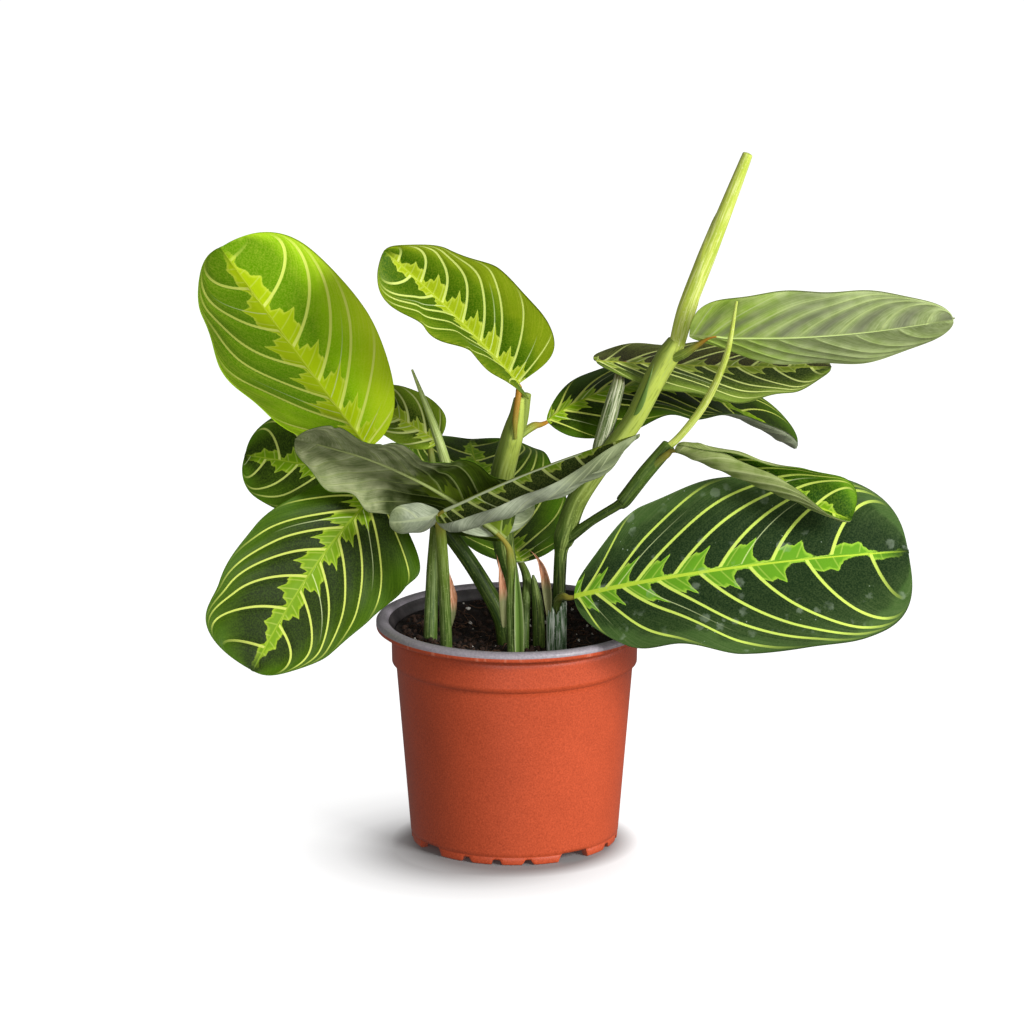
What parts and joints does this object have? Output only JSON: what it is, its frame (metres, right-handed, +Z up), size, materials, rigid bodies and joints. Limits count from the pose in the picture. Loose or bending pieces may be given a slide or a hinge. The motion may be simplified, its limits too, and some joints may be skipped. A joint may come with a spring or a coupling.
{
  "type": "potted prayer plant",
  "caption": "Prayer plant with broad patterned leaves on jointed stems, standing in a tapered round nursery pot filled with peat.",
  "frame": {"origin": "centre of the pot's foot, on the surface that the pot stands on", "axes": "+Z up along the pot's axis, -Y to the front that faces the viewer, +X to the viewer's right"},
  "size_m": [0.3245, 0.1909, 0.3037],
  "materials": {
    "pot": "satin terracotta-coloured sheet",
    "peat": "matt crumbly peat",
    "stem": "satin green",
    "sheath": "dull grey-green",
    "lime_leaf": "satin bright green",
    "dark_leaf": "satin dark green with light veins",
    "young_leaf": "satin yellow-green"
  },
  "bodies": {
    "root": {"pot": "pot", "soil": "peat", "stem_left": "stem", "stem_centre": "stem", "stem_right": "stem", "sheath_cut": "sheath", "sheath_closed": "sheath", "leaf_upper_left": "lime_leaf", "leaf_upper_centre": "lime_leaf", "leaf_far_left": "dark_leaf", "leaf_lower_left": "dark_leaf", "leaf_small_back": "dark_leaf", "leaf_front_left": "dark_leaf", "leaf_front_right": "dark_leaf", "leaf_back": "dark_leaf", "leaf_middle_right": "dark_leaf", "leaf_back_right": "dark_leaf", "leaf_top_right": "lime_leaf", "leaf_curled_right": "dark_leaf", "leaf_lower_right": "dark_leaf", "young_leaf_tall": "young_leaf", "young_leaf_right": "young_leaf", "young_leaf_left": "young_leaf"}
  },
  "joints": []
}
